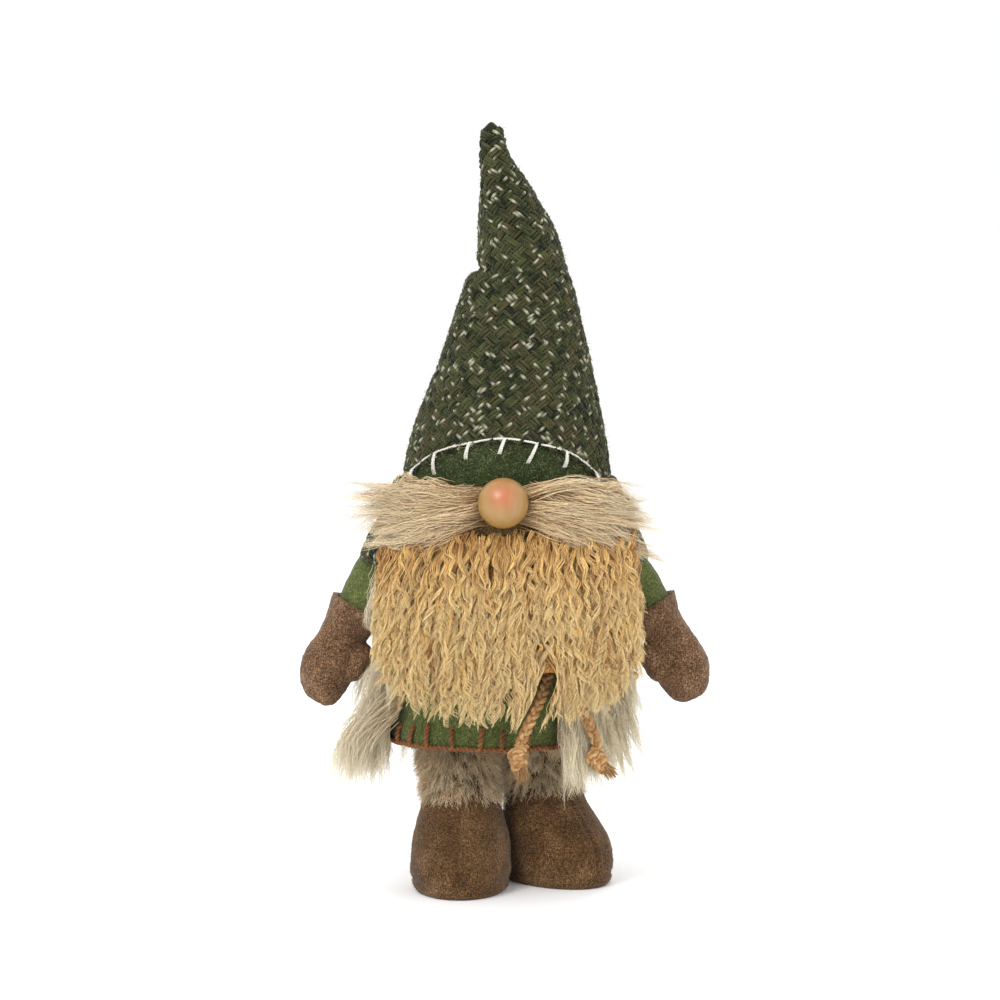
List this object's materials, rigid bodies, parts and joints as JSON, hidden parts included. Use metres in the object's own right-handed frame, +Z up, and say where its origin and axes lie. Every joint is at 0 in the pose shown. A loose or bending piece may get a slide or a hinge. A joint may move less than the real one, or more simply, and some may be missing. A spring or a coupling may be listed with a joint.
{
  "type": "standing gnome figurine",
  "caption": "Standing cloth gnome with a tall bent hat, bead nose, fur moustache, curly beard, fur vest and felt boots.",
  "frame": {"origin": "on the floor, below the middle of the bounding box without the hanging belt ends", "axes": "+Z up, the face towards -Y, the figure's own left hand towards +X"},
  "size_m": [0.2683, 0.17, 0.497],
  "materials": {
    "hat_tweed": "woven, rough",
    "felt_brown": "mottled felt, matt",
    "felt_green": "felt, matt",
    "fur_long": "long straight pile",
    "fur_short": "short dense pile",
    "wool_locks": "curly locks",
    "yarn_white": "spun yarn",
    "yarn_rust": "spun yarn",
    "jute": "braided cord",
    "bead_wood": "satin varnish",
    "stuffing": "fibre filling",
    "cotton": "plain weave",
    "backing_felt": "felt, matt",
    "boot_sole": "felt, matt",
    "card": "plain",
    "sand": "bagged grains",
    "wire": "drawn wire"
  },
  "bodies": {
    "root": {"boot_sole_right": "boot_sole", "boot_upper_right": "felt_brown", "insole_board_right": "card", "boot_filling_right": "stuffing", "trouser_leg_right": "fur_short", "leg_filling_right": "stuffing", "moustache_right": "fur_long", "boot_sole_left": "boot_sole", "boot_upper_left": "felt_brown", "insole_board_left": "card", "boot_filling_left": "stuffing", "trouser_leg_left": "fur_short", "leg_filling_left": "stuffing", "moustache_left": "fur_long", "ballast_bag": "sand", "body_stuffing": "stuffing", "body_bag": "cotton", "tunic": "felt_green", "tunic_hem_stitch": "yarn_rust", "fur_vest": "fur_long", "collar": "hat_tweed", "hat_cone": "hat_tweed", "hat_stuffing": "stuffing", "hat_wire": "wire", "visor_patch": "hat_tweed", "visor_stitch": "yarn_white", "nose_bead": "bead_wood", "nose_peg": "backing_felt", "face_panel": "backing_felt", "belt_cord": "jute", "belt_knot": "jute", "belt_end_long": "jute", "belt_end_short": "jute", "belt_end_knot_long": "jute", "belt_end_knot_short": "jute"},
    "left_arm": {"sleeve_left": "felt_green", "arm_stuffing_left": "stuffing", "mitten_left": "felt_brown", "mitten_stuffing_left": "stuffing"},
    "right_arm": {"sleeve_right": "felt_green", "arm_stuffing_right": "stuffing", "mitten_right": "felt_brown", "mitten_stuffing_right": "stuffing"},
    "hat_top": {"hat_tip": "hat_tweed", "hat_tip_stuffing": "stuffing", "hat_tip_wire": "wire"},
    "beard": {"beard_skin": "backing_felt", "beard_pile": "wool_locks"}
  },
  "joints": [
    {"name": "left_arm_lift", "type": "hinge", "parent": "root", "child": "left_arm", "pos_m": [0.078, 0.009, 0.21], "axis": [0, -1, 0], "range_deg": [0, 55]},
    {"name": "right_arm_lift", "type": "hinge", "parent": "root", "child": "right_arm", "pos_m": [-0.078, 0.009, 0.21], "axis": [0, 1, 0], "range_deg": [0, 55]},
    {"name": "hat_top_bend", "type": "hinge", "parent": "root", "child": "hat_top", "pos_m": [0.012, 0.011, 0.402], "axis": [0, 1, 0], "range_deg": [-30, 30]},
    {"name": "beard_lift", "type": "hinge", "parent": "root", "child": "beard", "pos_m": [0.003, -0.063, 0.227], "axis": [-1, 0, 0], "range_deg": [0, 35]}
  ]
}
